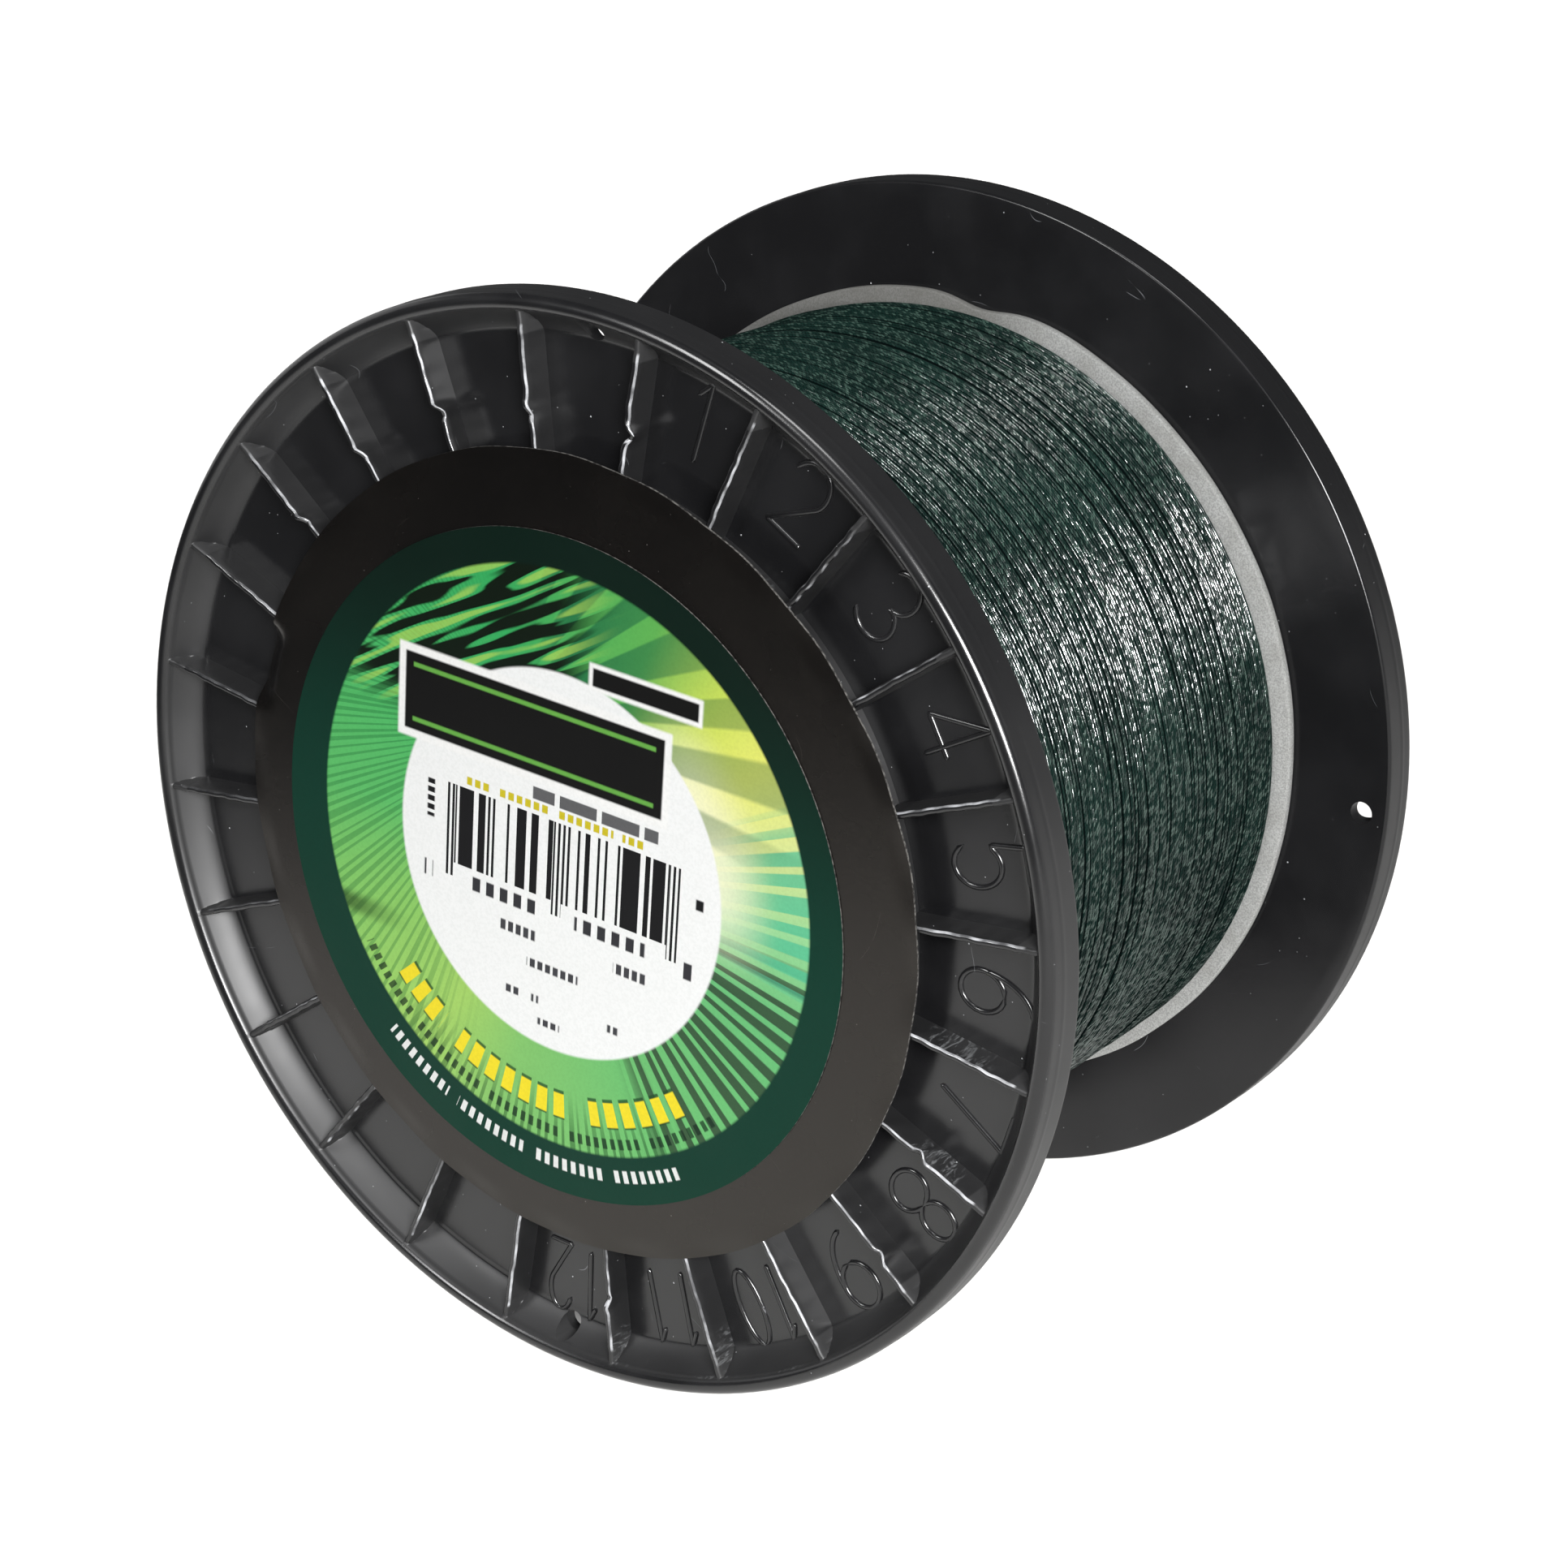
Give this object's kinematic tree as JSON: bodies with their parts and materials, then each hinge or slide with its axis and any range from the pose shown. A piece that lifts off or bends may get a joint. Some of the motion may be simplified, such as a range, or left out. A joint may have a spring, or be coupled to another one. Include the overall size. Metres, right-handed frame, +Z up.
{
  "type": "fishing line spool",
  "caption": "Bulk spool of dark green braided fishing line: two black ribbed flanges on a hollow core, with a round label.",
  "frame": {"origin": "on the axis of the arbor bore, midway between the two flanges", "axes": "+Y along the bore, from the labelled front face to the open rear face; +Z up, with the spool standing on its two rims; +X to the right as seen from the front"},
  "size_m": [0.12, 0.0744, 0.12],
  "materials": {
    "flange_plastic": "gloss",
    "core_plastic": "satin",
    "washer_felt": "matte",
    "tape": "matte",
    "braid": "satin",
    "label_backing": "satin",
    "label_print": "satin"
  },
  "bodies": {
    "root": {"front_flange": "flange_plastic", "rear_flange": "flange_plastic", "core_barrel": "core_plastic", "front_washer": "washer_felt", "rear_washer": "washer_felt", "starter_tape": "tape", "wound_line": "braid", "backing_label": "label_backing", "printed_label": "label_print"}
  },
  "joints": []
}
